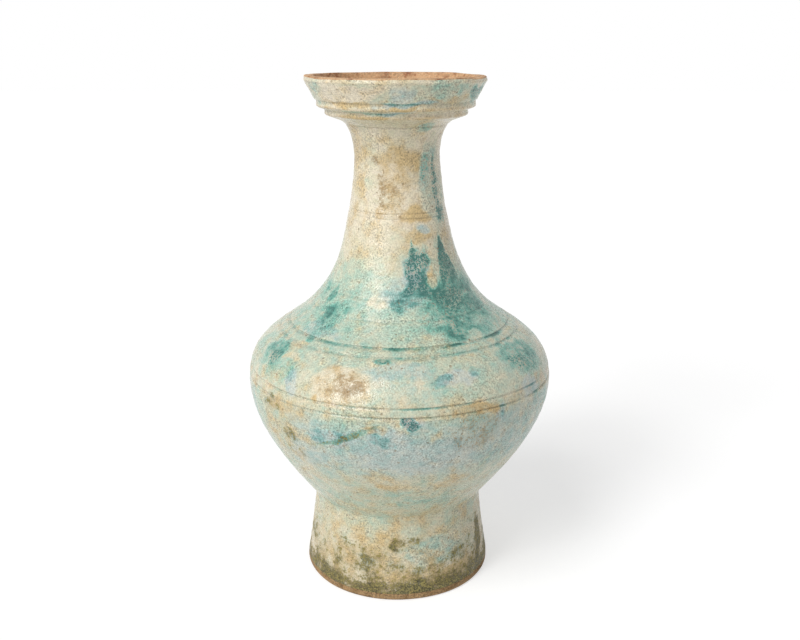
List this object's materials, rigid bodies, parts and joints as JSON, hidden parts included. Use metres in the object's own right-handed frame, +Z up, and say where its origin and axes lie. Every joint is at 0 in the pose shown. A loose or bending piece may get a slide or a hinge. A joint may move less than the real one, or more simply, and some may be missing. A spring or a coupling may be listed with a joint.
{
  "type": "hu jar",
  "caption": "Tall glazed earthenware storage jar with a stepped dish mouth, a long waisted neck, a full rounded belly ringed by string lines and a splayed hollow foot.",
  "frame": {"origin": "centre of the circle that the foot stands on, at the jar's base", "axes": "+Z up along the axis of the wheel, through the mouth; -Y towards the viewer of the picture"},
  "size_m": [0.2546, 0.2546, 0.42],
  "materials": {
    "lead_glaze": "weathered pale green and cream lead glaze over red earthenware, satin"
  },
  "bodies": {
    "root": {"foot_ring": "lead_glaze", "lower_bowl": "lead_glaze", "upper_bowl": "lead_glaze", "neck": "lead_glaze", "dish_mouth": "lead_glaze"}
  },
  "joints": []
}
